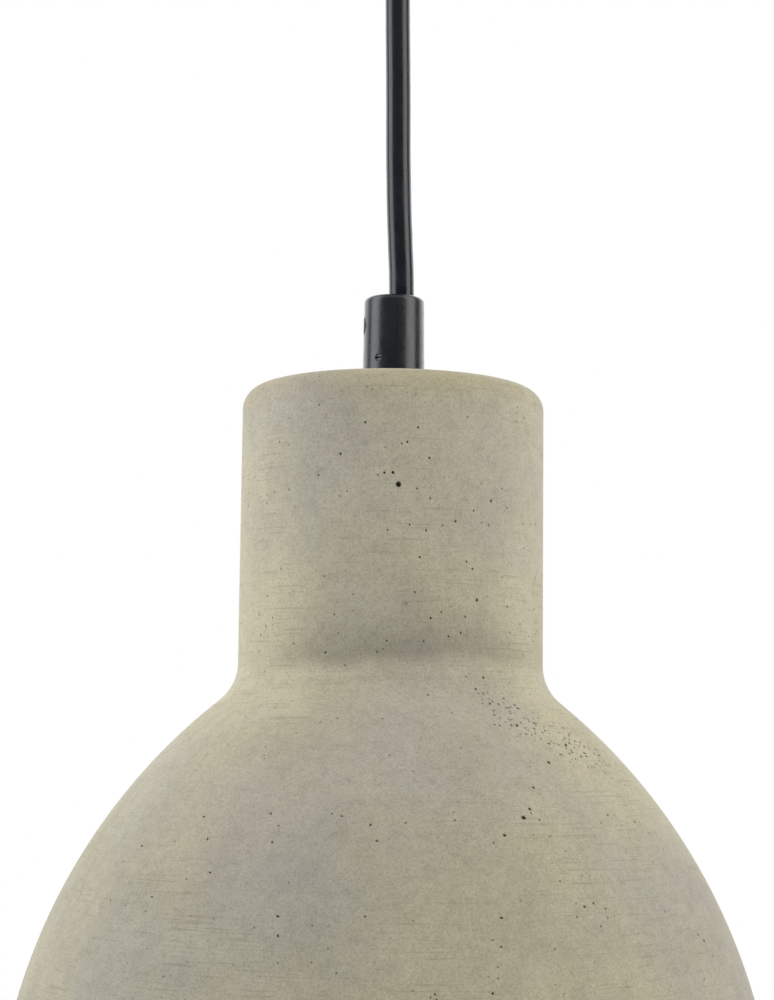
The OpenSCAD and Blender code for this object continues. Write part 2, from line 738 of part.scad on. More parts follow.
module holder_terminal_screws() {
    color("gold") for (s = [-1, 1])
        translate([s * holder_pole, 0, z_insert_top + seat_gap]) rotate([180, 0, 0])
            pan_screw(holder_screw_r, holder_head_r, holder_head_h, insert_t - insert_step);
}

// The brass shell takes the bulb's thread. Its upper end turns in and is riveted to the insert.
module screw_shell() {
    neck_in = 9;                                       // the turned-in end's hole
    lip = 1.2;
    color("gold") translate([0, 0, z_shell_base]) rotate_extrude()
        polygon([
            [shell_r, 0], [shell_r + shell_wall, 0], [shell_r + shell_wall, shell_h - shell_turn],
            [neck_in + lip, shell_h], [neck_in, shell_h], [neck_in, shell_h - shell_wall],
            [shell_r, shell_h - shell_turn]
        ]);
}

// The spring strip's boss stops short of the straight part of the shell.
module centre_contact() {
    strip_t = 0.6;
    strip_w = 4;
    strip_from = -6;
    strip_to = 3;
    boss_r = 2.4;
    boss_h = shell_turn - 0.6;
    color("gold") {
        translate([strip_from, -strip_w / 2, z_insert_base - strip_t])
            cube([strip_to - strip_from, strip_w, strip_t]);
        translate([0, 0, z_insert_base - boss_h]) cylinder(r = boss_r, h = boss_h);
    }
}

module lampholder_skirt() {
    top_r = holder_d / 2;
    foot_r = top_r + skirt_flare / 2;
    lip_gap = 0.6;
    lip_r = shell_r + shell_wall + lip_gap;
    lip_t = 2.2;
    lip_slope = 1.5;
    edge = 1;
    z0 = z_cap_base - seat_gap;
    color("#1d1d1f") rotate_extrude()
        polygon(concat(
            [[top_r - holder_wall, z0], [top_r, z0], [foot_r, z_skirt_base + edge]],
            [[foot_r - edge, z_skirt_base], [lip_r, z_skirt_base], [lip_r, z_skirt_base + lip_t]],
            [[foot_r - holder_wall, z_skirt_base + lip_t + lip_slope]],
            [[top_r - holder_wall, z0 - spigot_h - 2]]
        ));
}

module live_core_lower() {
    p = [[tail_x, core_side, z_lower_sheath_end], [tail_x, core_side, z_lower_sheath_end - 1.2],
         [1.6, core_side + 0.7, z_lower_sheath_end - 2.8], [3.8, 3.8, z_lower_sheath_end - 4.4],
         [6.6, 5.8, z_insert_top + 3.6], [holder_pole, 6.2, z_insert_top + 2.4],
         [holder_pole, 5.5, z_insert_top + 1.3]];
    color("saddlebrown") tube(p, core_r, 10, [1, -1, 0]);
}

module neutral_core_lower() {
    p = [[tail_x, -core_side, z_lower_sheath_end], [tail_x, -core_side, z_lower_sheath_end - 1.2],
         [-0.6, -core_side - 0.7, z_lower_sheath_end - 2.8], [-3.4, -3.8, z_lower_sheath_end - 4.4],
         [-6.6, -5.8, z_insert_top + 3.6], [-holder_pole, -6.2, z_insert_top + 2.4],
         [-holder_pole, -5.5, z_insert_top + 1.3]];
    color("royalblue") tube(p, core_r, 10, [1, -1, 0]);
}

ceiling_bracket();
canopy_cup();
canopy_side_screws();
terminal_block();
terminal_sleeves();
terminal_screws();
terminal_fixing_screw();
earth_screw();
canopy_grip();
canopy_clamp_screw();
canopy_lock_screw();
canopy_nipple();
canopy_washer();
canopy_nut();
live_core_upper();
neutral_core_upper();
earth_core();
cord_tail_upper();
supply_cord();
cord_tail_lower();
shade_grip();
shade_clamp_screw();
shade_lock_screw();
grip_washer();
shade_nipple();
concrete_shade();
under_washer();
shade_nut();
lampholder_cap();
lampholder_lock_screw();
lampholder_insert();
holder_terminal_screws();
screw_shell();
centre_contact();
lampholder_skirt();
live_core_lower();
neutral_core_lower();
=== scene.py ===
# A cast-concrete bell pendant on a short drop of black cord, under a round black ceiling canopy.
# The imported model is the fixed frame. This script gives each of its pieces its visible shape and
# finish, in metres, from the ceiling down: the lamp hangs into -Z, and its front is towards -Y.

import json
import random
from math import acos, asin, atan2, cos, degrees, pi, radians, sin, sqrt

import bmesh
import bpy
from mathutils import Matrix, Vector
from mathutils.bvhtree import BVHTree
from mathutils.kdtree import KDTree

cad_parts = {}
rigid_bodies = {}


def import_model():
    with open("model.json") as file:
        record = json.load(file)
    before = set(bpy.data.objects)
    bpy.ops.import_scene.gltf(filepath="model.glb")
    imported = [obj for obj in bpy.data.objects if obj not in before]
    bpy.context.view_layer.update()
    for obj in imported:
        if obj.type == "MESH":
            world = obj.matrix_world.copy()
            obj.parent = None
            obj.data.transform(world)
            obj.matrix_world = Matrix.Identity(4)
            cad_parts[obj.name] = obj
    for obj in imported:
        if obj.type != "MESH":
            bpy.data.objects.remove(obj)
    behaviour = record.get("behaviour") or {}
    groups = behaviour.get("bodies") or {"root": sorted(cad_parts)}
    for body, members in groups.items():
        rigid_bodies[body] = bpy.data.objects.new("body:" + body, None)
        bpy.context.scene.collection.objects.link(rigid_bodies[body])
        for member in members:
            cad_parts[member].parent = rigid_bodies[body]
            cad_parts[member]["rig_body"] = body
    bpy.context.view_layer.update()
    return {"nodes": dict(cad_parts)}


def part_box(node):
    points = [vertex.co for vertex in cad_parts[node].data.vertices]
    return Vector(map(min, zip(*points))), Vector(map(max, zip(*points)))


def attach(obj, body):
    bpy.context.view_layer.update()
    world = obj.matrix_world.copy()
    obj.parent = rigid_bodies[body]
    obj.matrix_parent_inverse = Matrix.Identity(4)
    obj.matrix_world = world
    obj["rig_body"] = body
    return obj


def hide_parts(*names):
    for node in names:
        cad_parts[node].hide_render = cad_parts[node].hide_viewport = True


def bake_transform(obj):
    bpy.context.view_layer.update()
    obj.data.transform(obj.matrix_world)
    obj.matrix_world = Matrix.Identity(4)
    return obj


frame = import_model()
collection = bpy.context.scene.collection


# ---- The view ----
# A long lens a little under the top of the shade, tipped up, with the lamp leaning by less than
# a degree, as it hangs. There is no lens shift.

shade_low, shade_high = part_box("concrete_shade")
top_of_shade = shade_high.z

lens = bpy.data.cameras.new("camera")
lens.lens = 75.78
lens.sensor_width = 36
camera = bpy.data.objects.new("camera", lens)
collection.objects.link(camera)
camera_place = Vector((-0.00142, -0.5752, top_of_shade - 0.0959))
camera_tip = radians(6.5)
camera_lean = radians(0.64)
camera.matrix_world = (Matrix.Translation(camera_place)
                       @ Matrix.Rotation(pi / 2 + camera_tip, 4, "X")
                       @ Matrix.Rotation(camera_lean, 4, "Z"))
bpy.context.scene.camera = camera
bpy.context.scene.view_settings.view_transform = "Standard"


# ---- Floor and light ----
# A pale floor well below the lamp, a white room behind it, a dim bluish one in front, light from
# above, and a tall soft box on each side. The boxes make the bright bands on the black parts.

def add(tree, kind, inputs=None, **settings):
    """A node in a tree. An input is a plain value or another node's output."""
    node = tree.nodes.new("ShaderNode" + kind)
    for key, value in settings.items():
        setattr(node, key, value)
    for key, value in (inputs or {}).items():
        if isinstance(value, bpy.types.NodeSocket):
            tree.links.new(value, node.inputs[key])
        else:
            node.inputs[key].default_value = value
    return node


def ramp(tree, value, stops):
    """A colour for each value: stops holds pairs of place and colour, or of place and grey."""
    node = add(tree, "ValToRGB", {"Fac": value})
    points = node.color_ramp.elements
    while len(points) < len(stops):
        points.new(0.5)
    for point, (place, shade) in zip(points, stops):
        point.position = place
        point.color = (*shade, 1) if isinstance(shade, tuple) else (shade, shade, shade, 1)
    return node.outputs["Color"]


def mix(tree, factor, first, second, mode="MIX"):
    """Two colours mixed, or multiplied and so on."""
    node = add(tree, "Mix", data_type="RGBA", blend_type=mode)
    for socket, value in ((node.inputs[0], factor), (node.inputs[6], first), (node.inputs[7], second)):
        if isinstance(value, bpy.types.NodeSocket):
            tree.links.new(value, socket)
        elif isinstance(value, tuple):
            socket.default_value = (*value, 1)
        else:
            socket.default_value = value
    return node.outputs[2]


studio = bpy.data.worlds.new("studio")
studio.use_nodes = True
bpy.context.scene.world = studio
room = studio.node_tree
way = add(room, "SeparateXYZ", {"Vector": add(room, "TexCoord").outputs["Generated"]})
back_and_front = ramp(room, add(room, "MapRange", {
    "Value": way.outputs["Y"], "From Min": -1.0, "From Max": 1.0}).outputs["Result"],
    [(0.0, (0.045, 0.055, 0.065)), (0.66, (0.06, 0.07, 0.08)), (0.76, 0.95), (1.0, 1.0)])
overhead = ramp(room, add(room, "MapRange", {
    "Value": way.outputs["Z"], "From Min": -1.0, "From Max": 1.0}).outputs["Result"],
    [(0.0, 0.10), (0.5, 0.0), (0.72, 0.18), (1.0, 0.65)])
for_light = mix(room, 1.0, back_and_front, overhead, "LIGHTEN")
room_radiance = 2.0               # the white room is brighter than paper white
seen = mix(room, add(room, "LightPath").outputs["Is Camera Ray"], for_light, (1 / room_radiance,) * 3)
room.links.new(seen, room.nodes["Background"].inputs["Color"])
room.nodes["Background"].inputs["Strength"].default_value = room_radiance


def soft_box(name, place, width, height, radiance, tint, aim):
    """An even rectangle of light. Its power follows from how bright its face is."""
    lamp = bpy.data.lights.new(name, "AREA")
    lamp.shape = "RECTANGLE"
    lamp.size = width
    lamp.size_y = height
    lamp.energy = radiance * pi * width * height
    lamp.color = tint
    box = bpy.data.objects.new(name, lamp)
    box.location = place
    box.rotation_mode = "QUATERNION"
    box.rotation_quaternion = (Vector(aim) - Vector(place)).to_track_quat("-Z", "Y")
    box.visible_camera = False
    collection.objects.link(box)


lamp_middle = (0, 0, (shade_low.z + shade_high.z) / 2)
soft_box("left_box", (-1.17, -0.26, 0.10), 0.80, 1.8, 3.2, (0.97, 0.99, 1.06), lamp_middle)
soft_box("right_box", (1.12, -0.48, 0.10), 0.84, 1.8, 2.8, (1.00, 1.00, 0.97), lamp_middle)

floor_drop = 1.9
floor_r = 7
bm = bmesh.new()
bmesh.ops.create_circle(bm, cap_ends=True, segments=96, radius=floor_r)
bmesh.ops.translate(bm, verts=bm.verts, vec=(0, 0, -floor_drop))
floor_mesh = bpy.data.meshes.new("floor")
bm.to_mesh(floor_mesh)
bm.free()
floor = bpy.data.objects.new("floor", floor_mesh)
collection.objects.link(floor)
floor_paint = bpy.data.materials.new("floor_paint")
floor_paint.use_nodes = True
floor_tree = floor_paint.node_tree
floor_skin = floor_tree.nodes["Principled BSDF"]
floor_skin.inputs["Roughness"].default_value = 0.85
floor_tree.links.new(
    ramp(floor_tree, add(floor_tree, "TexNoise", {
        "Vector": add(floor_tree, "TexCoord").outputs["Object"], "Scale": 3.0}).outputs["Fac"],
        [(0.3, 0.78), (0.7, 0.82)]),
    floor_skin.inputs["Base Color"])
floor_mesh.materials.append(floor_paint)


# ---- Supply cord ----
# A round three-core lead with a smooth black sheath, drawn through a die that leaves faint lines
# along it. The ceiling fitting and the lamp's weight hold it taut, and the clamp screw in the
# lamp's grip pushes it to one side, so it bows a little.

mm = 0.001
cord_diameter = 7 * mm
cord_line = [                     # from the lamp's grip up: (to the side, height above its mouth)
    (2.0, 0), (1.95, 4), (1.85, 8), (1.7, 11), (1.55, 14), (1.4, 18), (1.25, 21), (1.1, 25),
    (1.0, 28), (0.9, 32), (0.8, 36), (0.7, 40), (0.65, 44), (0.6, 49), (0.55, 54),
    (0.45, 62), (0.3, 70), (0.15, 78), (0.11, 81), (0.08, 83), (0.06, 85), (0.04, 87),
    (0.02, 89), (0.01, 91), (0, 93), (0, 95),
]
lower_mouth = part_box("shade_grip")[1].z
upper_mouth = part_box("canopy_grip")[0].z
into_canopy = 0.008               # how far the cord's end reaches into the ceiling grip


def new_finish(name, roughness, base=(0.5, 0.5, 0.5), metallic=0.0):
    """A material with its tree, its shader and the object's own coordinates."""
    finish = bpy.data.materials.new(name)
    finish.use_nodes = True
    skin = finish.node_tree.nodes["Principled BSDF"]
    skin.inputs["Roughness"].default_value = roughness
    skin.inputs["Base Color"].default_value = (*base, 1)
    skin.inputs["Metallic"].default_value = metallic
    place = add(finish.node_tree, "TexCoord").outputs["Object"]
    return finish, finish.node_tree, skin, place


def noise(tree, place, scale, detail=4.0, roughness=0.5, stretch=None):
    """Cloudy noise, finer for a larger scale. stretch gives the scale along X, Y and Z."""
    if stretch:
        place = add(tree, "Mapping", {"Vector": place, "Scale": stretch}).outputs["Vector"]
    return add(tree, "TexNoise", {
        "Vector": place, "Scale": scale, "Detail": detail, "Roughness": roughness}).outputs["Fac"]


def spread(tree, value, low, high, to_low, to_high):
    """A value moved from one range to another, and held inside it."""
    return add(tree, "MapRange", {"Value": value, "From Min": low, "From Max": high,
                                  "To Min": to_low, "To Max": to_high}).outputs["Result"]


def dent(tree, skin, height, strength, distance, under=None):
    """Height turned into a fine relief of the surface."""
    inputs = {"Height": height, "Strength": strength, "Distance": distance}
    if under:
        inputs["Normal"] = under
    normal = add(tree, "Bump", inputs).outputs["Normal"]
    tree.links.new(normal, skin.inputs["Normal"])
    return normal


def put(bm, name, finish, sharp=35):
    """A finished mesh as an object, smooth but for edges sharper than the angle."""
    mesh = bpy.data.meshes.new(name)
    bm.to_mesh(mesh)
    bm.free()
    mesh.materials.append(finish)
    for face in mesh.polygons:
        face.use_smooth = True
    mesh.set_sharp_from_angle(angle=radians(sharp))
    piece = bpy.data.objects.new(name, mesh)
    collection.objects.link(piece)
    return piece


def tube(bm, path, radius, sides, ball_start=False, ball_end=False):
    """A round tube along a path, from rings that are extruded one after the other."""
    rings = [(point, radius) for point in path]
    ball = [radians(a) for a in (20, 40, 58, 74, 85)]
    first = (path[0] - path[1]).normalized()
    last = (path[-1] - path[-2]).normalized()
    if ball_start:
        rings = [(path[0] + first * radius * sin(a), radius * cos(a)) for a in reversed(ball)] + rings
    if ball_end:
        rings = rings + [(path[-1] + last * radius * sin(a), radius * cos(a)) for a in ball]
    ring = bmesh.ops.create_circle(bm, cap_ends=True, segments=sides, radius=1)["verts"]
    outline = [edge for edge in bm.edges if all(v in ring for v in edge.verts)]
    for i, (centre, r) in enumerate(rings):
        before = rings[max(i - 1, 0)][0]
        after = rings[min(i + 1, len(rings) - 1)][0]
        turn = Vector((0, 0, 1)).rotation_difference(after - before).to_matrix().to_4x4()
        place = Matrix.Translation(centre) @ turn @ Matrix.Scale(r, 4)
        if i:
            made = bmesh.ops.extrude_edge_only(bm, edges=outline)["geom"]
            outline = [g for g in made if isinstance(g, bmesh.types.BMEdge)
                       and all(v in made for v in g.verts) and len(g.link_faces) == 1]
            fresh = [g for g in made if isinstance(g, bmesh.types.BMVert)]
            bmesh.ops.transform(bm, matrix=place @ previous.inverted(), verts=fresh)
        else:
            bmesh.ops.transform(bm, matrix=place, verts=ring)
        previous = place
    bmesh.ops.contextual_create(bm, geom=outline)
    bmesh.ops.recalc_face_normals(bm, faces=bm.faces)


sheath, tree, skin, place = new_finish("cord_sheath", 0.34)
skin.inputs["Specular IOR Level"].default_value = 0.5
tree.links.new(ramp(tree, noise(tree, place, 60, 3), [
    (0.3, (0.003, 0.005, 0.008)), (0.7, (0.005, 0.007, 0.011))]), skin.inputs["Base Color"])
die_lines = noise(tree, place, 1.0, 2, 0.5, stretch=(2600, 2600, 12))
tree.links.new(spread(tree, noise(tree, place, 240, 4), 0.3, 0.7, 0.20, 0.32), skin.inputs["Roughness"])
dent(tree, skin, die_lines, 0.07, 0.00005)

path = ([Vector((side * mm, 0, lower_mouth + height * mm)) for side, height in cord_line]
        + [Vector((0, 0, upper_mouth + into_canopy * share)) for share in (0.25, 0.6, 1.0)])
bm = bmesh.new()
tube(bm, path, cord_diameter / 2, 32, ball_start=True)
cord = put(bm, "black_supply_cord", sheath, sharp=60)
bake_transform(cord)
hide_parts("supply_cord")


def dress(finish, *nodes):
    """A CAD node whose shape is right as it is gets its finish."""
    for node in nodes:
        mesh = frame["nodes"][node].data
        mesh.materials.clear()
        mesh.materials.append(finish)


dress(sheath, "cord_tail_upper", "cord_tail_lower")


# ---- Concrete shade ----
# One casting of grey-beige mortar: a straight neck that hollows out into a bell, with a flat top
# and a round rim. The mould leaves bubbles and pinholes, rubbing down leaves fine level
# scratches, and the mix dries in yellowish and bluish-grey clouds.

neck_r = 0.04145
neck_foot = top_of_shade - 0.084
top_round = 0.006
throat_round = 0.013              # the hollow round where the neck meets the bell
bell_r = 0.1513                   # radius of the arc that is the bell's side
widest_below_rim = 0.0087         # the arc's middle is this far below the rim
wall = 0.0085
bore_r = 0.032                    # the neck's hollow
slab = 0.010
mouth_round = 0.008
rim_round = 0.0024
slab_round = 0.005
hole_r = 0.0054
rim_z = shade_low.z


def line_to(bm, tip, r, z, steps=1):
    """A straight stretch of an outline, in equal steps."""
    start, end = tip.co.copy(), Vector((r, 0, z))
    for i in range(steps):
        tip = bmesh.ops.extrude_vert_indiv(bm, verts=[tip])["verts"][0]
        tip.co = start.lerp(end, (i + 1) / steps)
    return tip


def arc_to(bm, tip, r, z, turn, steps):
    """An arc of an outline round (r, z). Clockwise is positive, with the axis on the left."""
    last = bmesh.ops.spin(bm, geom=[tip], cent=(r, 0, z), axis=(0, 1, 0), angle=turn, steps=steps)
    return [g for g in last["geom_last"] if isinstance(g, bmesh.types.BMVert)][0]


def turn_round(bm, sides):
    """The outline in a bmesh, closed and turned into a round body about the lamp's axis."""
    ends = [v for v in bm.verts if len(v.link_edges) == 1]
    bmesh.ops.contextual_create(bm, geom=ends)
    bmesh.ops.spin(bm, geom=bm.verts[:] + bm.edges[:], cent=(0, 0, 0), axis=(0, 0, 1),
                   angle=2 * pi, steps=sides, use_merge=True)
    bmesh.ops.remove_doubles(bm, verts=bm.verts, dist=1e-7)
    bmesh.ops.recalc_face_normals(bm, faces=bm.faces)


# the middle of the bell's arcs, and where each arc starts and ends
bell_x = shade_high.x - sqrt(bell_r ** 2 - widest_below_rim ** 2)
bell_z = rim_z - widest_below_rim
inner_r = bell_r - wall
rim_start = rim_z + rim_round
outer_turn = acos((neck_r + throat_round - bell_x) / (bell_r + throat_round))
inner_turn = acos((bore_r + mouth_round - bell_x) / (inner_r + mouth_round))
throat_z = bell_z + (bell_r + throat_round) * sin(outer_turn)
mouth_z = bell_z + (inner_r + mouth_round) * sin(inner_turn)
outer_end = asin((rim_start - bell_z) / bell_r)
inner_end = asin((rim_start - bell_z) / inner_r)
inner_rim = bell_x + inner_r * cos(inner_end)

bm = bmesh.new()
tip = bm.verts.new((hole_r, 0, top_of_shade))
tip = line_to(bm, tip, neck_r - top_round, top_of_shade, 14)
tip = arc_to(bm, tip, neck_r - top_round, top_of_shade - top_round, pi / 2, 8)
tip = line_to(bm, tip, neck_r, throat_z, 40)
tip = arc_to(bm, tip, neck_r + throat_round, throat_z, -outer_turn, 9)
tip = arc_to(bm, tip, bell_x, bell_z, outer_turn - outer_end, 72)
tip = arc_to(bm, tip, tip.co.x - rim_round, rim_start, pi / 2, 5)
tip = line_to(bm, tip, inner_rim + rim_round, rim_z, 2)
tip = arc_to(bm, tip, inner_rim + rim_round, rim_start, pi / 2, 5)
tip = arc_to(bm, tip, bell_x, bell_z, inner_end - inner_turn, 44)
tip = arc_to(bm, tip, bore_r + mouth_round, mouth_z, inner_turn, 8)
tip = line_to(bm, tip, bore_r, top_of_shade - slab - slab_round, 20)
tip = arc_to(bm, tip, bore_r - slab_round, top_of_shade - slab - slab_round, -pi / 2, 6)
tip = line_to(bm, tip, hole_r, top_of_shade - slab, 8)
turn_round(bm, 216)

# Bubbles that opened at the surface: (degrees to the right of the front, depth below the top and
# radius in mm). The largest are placed one by one, and the rest fall at random inside patches.
bubbles = [
    (2, 31, 0.75), (0, 28, 0.4), (-3, 28, 0.3), (5, 20, 0.3), (-19, 23, 0.3), (13, 24, 0.3),
    (38, 34, 0.35), (32, 60, 0.4), (14, 65, 0.3), (23, 40, 0.3), (-10, 15, 0.3),
    (26, 114, 0.6), (28, 112, 0.4), (31, 107, 0.35), (21, 118, 0.4), (39, 101, 0.5),
]
luck = random.Random(5)
patches = [                       # how many, degrees from and to, depths in mm, radii in mm
    (26, (8, 70), (30, 72), (0.22, 0.30)),
    (18, (-60, 20), (14, 74), (0.22, 0.27)),
    (24, (-75, 75), (84, 130), (0.22, 0.32)),
    (160, (75, 285), (8, 185), (0.22, 0.50)),
    (40, (-75, 75), (130, 190), (0.22, 0.40)),
]
for count, angles, depths, radii in patches:
    for i in range(count):
        bubbles.append((luck.uniform(*angles), luck.uniform(*depths),
                        radii[0] + (radii[1] - radii[0]) * luck.random() ** 2))
# The right shoulder is pocked all along a band that drops as it goes round to the side.
band_start_angle, band_end_angle = 29, 64
band_start_depth, band_end_depth = 86, 101
band_half = 9
band_bubbles = 70
for i in range(band_bubbles):
    along = luck.random()
    middle = band_start_depth + (band_end_depth - band_start_depth) * along
    bubbles.append((band_start_angle + (band_end_angle - band_start_angle) * along,
                    middle + luck.gauss(0, 0.35 * band_half), 0.21 + 0.20 * luck.random() ** 2))

# Each bubble's place on the casting is found along a line from far outside towards the axis.
outside = BVHTree.FromBMesh(bm)
far_out = 0.3
hollows = []
for angle, depth, radius in bubbles:
    out = Vector((sin(radians(angle)), -cos(radians(angle)), 0))
    start = out * far_out + Vector((0, 0, top_of_shade - depth * mm))
    spot, normal = outside.ray_cast(start, -out)[:2]
    if spot:
        hollows.append((spot, normal, radius * mm))
# The faces round it are cut finer, in three passes that each reach less far.
face_reach = 0.0016
for finer in range(3):
    middles = KDTree(len(bm.faces))
    for face in bm.faces:
        middles.insert(face.calc_center_median(), face.index)
    middles.balance()
    bm.faces.ensure_lookup_table()
    near = set()
    for spot, normal, radius in hollows:
        for place, index, far in middles.find_range(spot, radius * 1.3 + face_reach / 2 ** finer):
            face = bm.faces[index]
            if max(edge.calc_length() for edge in face.edges) > radius * 0.5:
                near.update(face.edges)
    bmesh.ops.subdivide_edges(bm, edges=list(near), cuts=1, use_grid_fill=True)
    bm.faces.index_update()
# Then the points inside its radius are pushed in, the middle the most.
# This layer records how far in each point sits, for the painted shade inside the bubbles.
hollow = bm.verts.layers.float.new("hollow")
hollow_depth = 1.1                # in radii
corners = KDTree(len(bm.verts))
bm.verts.index_update()
for v in bm.verts:
    corners.insert(v.co, v.index)
corners.balance()
bm.verts.ensure_lookup_table()
for spot, normal, radius in hollows:
    for place, index, far in corners.find_range(spot, radius):
        v = bm.verts[index]
        share = 1 - (far / radius) ** 3
        v.co = v.co - normal * radius * hollow_depth * share
        v[hollow] = max(v[hollow], share)
# Pinholes crowd in that band and in a small patch on the top edge.
pocked = bm.verts.layers.float.new("pocked")
patch_angle, patch_depth = -8, 4
patch_half_angle, patch_half_depth = 8, 4
for v in bm.verts:
    angle, depth = degrees(atan2(v.co.x, -v.co.y)), (top_of_shade - v.co.z) / mm
    along = (angle - band_start_angle) / (band_end_angle - band_start_angle)
    middle = band_start_depth + (band_end_depth - band_start_depth) * along
    off_band = abs(depth - middle) / band_half
    off_end = abs(along - 0.5) / 0.6
    off_patch = sqrt(((angle - patch_angle) / patch_half_angle) ** 2
                     + ((depth - patch_depth) / patch_half_depth) ** 2)
    v[pocked] = max(0.0, 1 - max(off_band, off_end), 0.8 - off_patch)

concrete, tree, skin, place = new_finish("cast_concrete", 0.88)
skin.inputs["Specular IOR Level"].default_value = 0.35
clouds = noise(tree, place, 13, 3, 0.55)
colour = ramp(tree, clouds, [(0.36, (0.398, 0.366, 0.302)), (0.50, (0.438, 0.402, 0.299)),
                             (0.62, (0.480, 0.440, 0.316))])
blue = spread(tree, noise(tree, place, 22, 4, 0.6, stretch=(1, 1, 0.7)), 0.50, 0.68, 0, 0.60)
colour = mix(tree, blue, colour, (0.400, 0.376, 0.336))
patchy = ramp(tree, noise(tree, place, 55, 6, 0.62), [(0.30, 0.94), (0.70, 1.05)])
colour = mix(tree, 1.0, colour, patchy, "MULTIPLY")
mottle = ramp(tree, noise(tree, place, 330, 5, 0.65), [(0.28, 0.89), (0.5, 1.0), (0.74, 1.07)])
colour = mix(tree, 1.0, colour, mottle, "MULTIPLY")
sand = noise(tree, place, 1900, 3, 0.6)
colour = mix(tree, 1.0, colour, ramp(tree, sand, [(0.30, 0.78), (0.52, 1.0), (0.75, 1.12)]), "MULTIPLY")
# Fine level scratches, in patches.
level = noise(tree, place, 1.0, 3, 0.6, stretch=(55, 55, 2000))
where = noise(tree, place, 26, 2)
scratch = add(tree, "Math", {0: spread(tree, level, 0.57, 0.66, 0, 1),
                             1: spread(tree, where, 0.42, 0.58, 0, 1)}, operation="MULTIPLY").outputs[0]
colour = mix(tree, add(tree, "Math", {0: scratch, 1: 0.32}, operation="MULTIPLY").outputs[0],
             colour, (0.20, 0.18, 0.115))


def pinholes(tree, place, scale, bare, reach):
    """Small round holes, one at most in each cell, as a mask for their dent and their dark painted shade.
    bare is the share of cells without one.
    """
    cells = add(tree, "TexVoronoi", {"Vector": place, "Scale": scale})
    cell_luck = add(tree, "SeparateXYZ", {"Vector": cells.outputs["Color"]}).outputs["X"]
    short = add(tree, "Math", {0: spread(tree, cell_luck, bare, 1.0, 0, reach),
                               1: cells.outputs["Distance"]}, operation="SUBTRACT").outputs[0]
    return add(tree, "Math", {0: short, 1: 12.0}, operation="MULTIPLY", use_clamp=True).outputs[0]


crowded = add(tree, "Attribute", attribute_name="pocked").outputs["Fac"]
crowd = add(tree, "Math", {0: pinholes(tree, place, 760, 0.15, 0.38),
                           1: spread(tree, crowded, 0.0, 0.4, 0, 1)}, operation="MULTIPLY").outputs[0]
pin = add(tree, "Math", {0: pinholes(tree, place, 520, 0.60, 0.20), 1: crowd},
          operation="MAXIMUM").outputs[0]
# The pinholes are painted near black: painted shade inside holes too small to build in the mesh.
colour = mix(tree, add(tree, "Math", {0: pin, 1: 0.75}, operation="MULTIPLY").outputs[0],
             colour, (0.075, 0.066, 0.045))
# Just above the foot of the neck, a thin lighter line is painted highlight and a darker band is painted
# shade, strongest in the middle of the neck's width; the edge at the top is browner, and the bell darkens
# below its shoulder.
across = add(tree, "SeparateXYZ", {"Vector": place})
uneven = spread(tree, noise(tree, place, 30, 3), 0.3, 0.7, -0.0016, 0.0016)
height = add(tree, "Math", {0: across.outputs["Z"], 1: uneven}, operation="ADD").outputs[0]
foot_to_top = spread(tree, height, neck_foot, top_of_shade, 0, 1)
# By height above the neck's foot: a painted highlight line, then a band of painted shade.
painted_foot_band = ramp(tree, foot_to_top, [
    (0.0, 0.96), (0.036, 0.94), (0.058, 1.03), (0.078, 0.95), (0.110, 0.75), (0.150, 0.77),
    (0.21, 0.90), (0.30, 0.99)])
# This mask keeps the painted light and shade at the neck's foot to the middle of its width, fading to the
# left and right.
in_front = ramp(tree, spread(tree, across.outputs["X"], -neck_r, neck_r, 0, 1), [
    (0.12, 0.1), (0.25, 1.0), (0.78, 1.0), (0.92, 0.4)])
colour = mix(tree, in_front, colour, mix(tree, 1.0, colour, painted_foot_band, "MULTIPLY"))
colour = mix(tree, 1.0, colour, ramp(tree, foot_to_top, [
    (0.90, (1.0, 1.0, 1.0)), (0.965, (0.97, 0.94, 0.87)), (1.0, (0.98, 0.95, 0.88))]), "MULTIPLY")
down_bell = spread(tree, height, rim_z, neck_foot, 1, 0)
colour = mix(tree, 1.0, colour, ramp(tree, down_bell, [
    (0.0, (0.97, 0.97, 0.93)), (0.10, (0.93, 0.925, 0.87)), (0.22, (0.90, 0.90, 0.85)),
    (0.45, (0.81, 0.81, 0.79))]), "MULTIPLY")
# Inside the bubbles the colour goes almost black: painted shade in the hollows, darkest at their middles.
inside = add(tree, "Attribute", attribute_name="hollow").outputs["Fac"]
colour = mix(tree, spread(tree, inside, 0.0, 0.50, 0, 0.97), colour, (0.030, 0.023, 0.012))
tree.links.new(colour, skin.inputs["Base Color"])
tree.links.new(spread(tree, noise(tree, place, 90, 4), 0.3, 0.7, 0.78, 0.95), skin.inputs["Roughness"])
rough = dent(tree, skin, sand, 0.30, 0.00012)
rough = dent(tree, skin, noise(tree, place, 330, 5, 0.65), 0.22, 0.0004, rough)
rough = dent(tree, skin, scratch, -0.35, 0.00015, rough)
dent(tree, skin, pin, -0.8, 0.0003, rough)

shade = put(bm, "concrete_bell_shade", concrete, sharp=60)
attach(shade, "lamp")
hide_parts("concrete_shade")


# ---- Cord grips with their screws ----
# Two black moulded plastic bushes, the same part used twice, one on the lamp and one upside down
# under the canopy. A plastic clamp screw presses the cord and a small steel one locks the thread.

